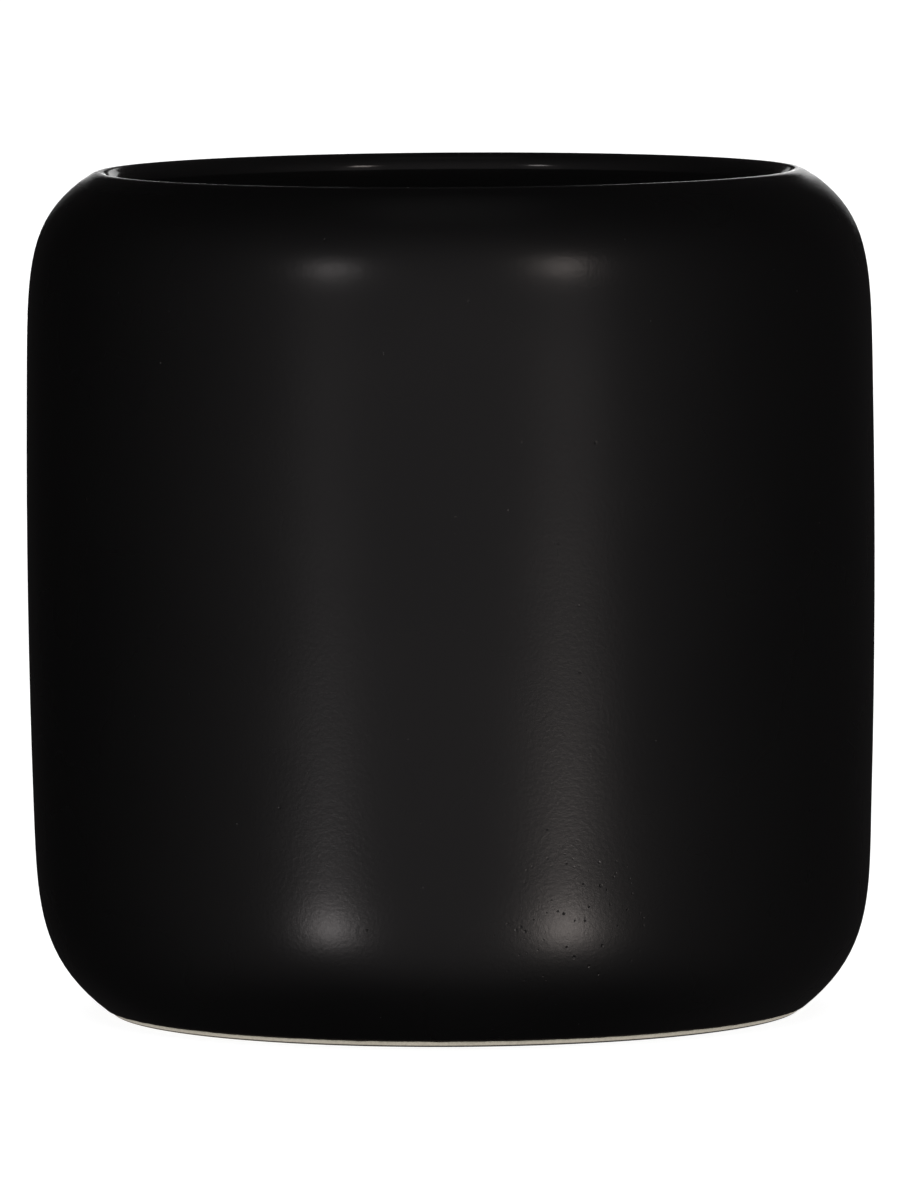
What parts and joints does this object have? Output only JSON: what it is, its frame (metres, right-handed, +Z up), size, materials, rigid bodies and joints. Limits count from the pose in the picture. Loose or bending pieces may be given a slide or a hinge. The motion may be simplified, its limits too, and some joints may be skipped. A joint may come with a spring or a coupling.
{
  "type": "empty candle jar",
  "caption": "Squat barrel-shaped ceramic jar with a wide rounded mouth, satin black outside, glossy black liner inside and a bare clay foot ring; holds a poured candle.",
  "frame": {"origin": "middle of the foot, on the surface the jar stands on", "axes": "+Z up along the jar's axis of turning, through the middle of the mouth; +X and +Y are any two level directions, because the jar is round"},
  "size_m": [0.088, 0.088, 0.0874],
  "materials": {
    "bare_clay": "unglazed, fine grained, matte",
    "satin_black_glaze": "satin matte glaze with a fine orange peel and a few pinholes",
    "gloss_black_liner": "glossy liner glaze"
  },
  "bodies": {
    "root": {"stoneware_body": "bare_clay", "outer_glaze": "satin_black_glaze", "inner_glaze": "gloss_black_liner"}
  },
  "joints": []
}
